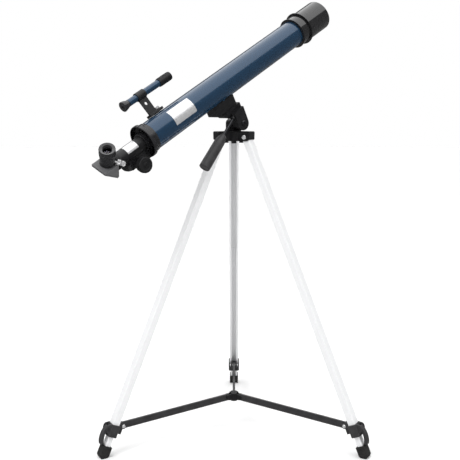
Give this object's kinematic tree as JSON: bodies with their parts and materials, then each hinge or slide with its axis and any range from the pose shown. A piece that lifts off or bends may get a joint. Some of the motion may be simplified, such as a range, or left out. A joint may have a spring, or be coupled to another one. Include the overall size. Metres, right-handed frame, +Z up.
{
  "type": "telescope on tripod",
  "caption": "Small refractor telescope with finder and star diagonal on a pan and tilt head and an aluminium tripod.",
  "frame": {"origin": "on the floor, in the middle of the area that the object covers", "axes": "+Z up; +Y away from the two front feet, towards the rear foot; the tube points to +X +Y and up"},
  "size_m": [0.5088, 0.5324, 0.8684],
  "materials": {
    "tube_paint": "glossy metallic navy enamel",
    "gloss_black": "gloss black moulding",
    "black_plastic": "satin black moulding",
    "grey_plastic": "dark grey matt moulding",
    "aluminium": "satin anodised",
    "dark_steel": "blackened steel",
    "chrome": "bright plated",
    "rubber": "matt black",
    "glass": "coated lens glass",
    "mirror": "front-silvered"
  },
  "bodies": {
    "stand": {"crown": "black_plastic", "pan_bolt": "dark_steel", "spreader_hub": "black_plastic", "leg_pin_1": "chrome", "upper_leg_1": "aluminium", "collar_1": "black_plastic", "arm_pin_1": "chrome", "spreader_arm_1": "black_plastic", "leg_pin_2": "chrome", "upper_leg_2": "aluminium", "collar_2": "black_plastic", "arm_pin_2": "chrome", "spreader_arm_2": "black_plastic", "leg_pin_3": "chrome", "upper_leg_3": "aluminium", "collar_3": "black_plastic", "arm_pin_3": "chrome", "spreader_arm_3": "black_plastic"},
    "extension_1": {"lower_leg_1": "aluminium", "foot_1": "rubber"},
    "extension_2": {"lower_leg_2": "aluminium", "foot_2": "rubber"},
    "extension_3": {"lower_leg_3": "aluminium", "foot_3": "rubber"},
    "lever_1": {"clamp_lever_1": "black_plastic"},
    "lever_2": {"clamp_lever_2": "black_plastic"},
    "lever_3": {"clamp_lever_3": "black_plastic"},
    "pan": {"pan_base": "black_plastic", "tilt_axle": "dark_steel"},
    "telescope": {"tilt_block": "black_plastic", "saddle": "black_plastic", "saddle_screw": "chrome", "main_tube": "tube_paint", "lens_cell": "gloss_black", "objective_lens": "glass", "lens_retainer": "black_plastic", "dew_shield": "gloss_black", "rear_cell": "black_plastic", "finder_tube": "tube_paint", "finder_bracket": "black_plastic", "finder_front_cell": "black_plastic", "finder_eyepiece": "black_plastic", "finder_lens": "glass", "finder_nut": "chrome"},
    "handle": {"handle_rod": "dark_steel", "handle_grip": "black_plastic"},
    "draw": {"drawtube": "black_plastic", "diagonal_screw": "chrome"},
    "focus_pinion": {"pinion_shaft": "dark_steel", "focus_knob_right": "black_plastic", "focus_knob_left": "black_plastic"},
    "diagonal": {"diagonal_body": "black_plastic", "diagonal_mirror": "mirror", "diagonal_cover": "grey_plastic", "eyepiece_screw": "chrome"},
    "ocular": {"eyepiece": "black_plastic", "eye_lens": "glass"}
  },
  "joints": [
    {"name": "pan_turn", "type": "hinge", "parent": "stand", "child": "pan", "pos_m": [0, -0.02201, 0.6], "axis": [0, 0, 1], "continuous": true},
    {"name": "tilt", "type": "hinge", "parent": "pan", "child": "telescope", "pos_m": [0, -0.02201, 0.6145], "axis": [0.6803, -0.7329, 0], "range_deg": [-50, 0.7]},
    {"name": "handle_twist", "type": "hinge", "parent": "telescope", "child": "handle", "pos_m": [-0.00019, -0.04948, 0.62477], "axis": [0.4618, 0.4287, 0.7765], "range_deg": [-180, 180]},
    {"name": "focus_travel", "type": "slide", "parent": "telescope", "child": "draw", "axis": [-0.6414, -0.5954, -0.4839], "range_m": [-0.013, 0.05]},
    {"name": "focus_knob_turn", "type": "hinge", "parent": "telescope", "child": "focus_pinion", "pos_m": [-0.17346, -0.18303, 0.54448], "axis": [0.6803, -0.7329, 0], "range_deg": [-138, 530]},
    {"name": "diagonal_turn", "type": "hinge", "parent": "draw", "child": "diagonal", "pos_m": [-0.21767, -0.22407, 0.54198], "axis": [0.6414, 0.5954, 0.4839], "range_deg": [-110, 0]},
    {"name": "eyepiece_slide", "type": "slide", "parent": "diagonal", "child": "ocular", "axis": [0.0864, -0.6828, 0.7255], "range_m": [0, 0.015]},
    {"name": "leg_extend_1", "type": "slide", "parent": "stand", "child": "extension_1", "axis": [0, 0.3951, -0.9187], "range_m": [0, 0.3]},
    {"name": "leg_extend_2", "type": "slide", "parent": "stand", "child": "extension_2", "axis": [-0.3421, -0.1975, -0.9187], "range_m": [0, 0.3]},
    {"name": "leg_extend_3", "type": "slide", "parent": "stand", "child": "extension_3", "axis": [0.3421, -0.1975, -0.9187], "range_m": [0, 0.3]},
    {"name": "lever_flip_1", "type": "hinge", "parent": "stand", "child": "lever_1", "pos_m": [0, 0.24948, 0.05548], "axis": [1, 0, 0], "range_deg": [0, 95]},
    {"name": "lever_flip_2", "type": "hinge", "parent": "stand", "child": "lever_2", "pos_m": [-0.23512, -0.15776, 0.05548], "axis": [-0.5, 0.866, 0], "range_deg": [0, 95]},
    {"name": "lever_flip_3", "type": "hinge", "parent": "stand", "child": "lever_3", "pos_m": [0.23512, -0.15776, 0.05548], "axis": [-0.5, -0.866, 0], "range_deg": [0, 95]}
  ],
  "couplings": [
    {"joint": "focus_knob_turn", "follows": "focus_travel", "rad_per_m": 184.8}
  ]
}
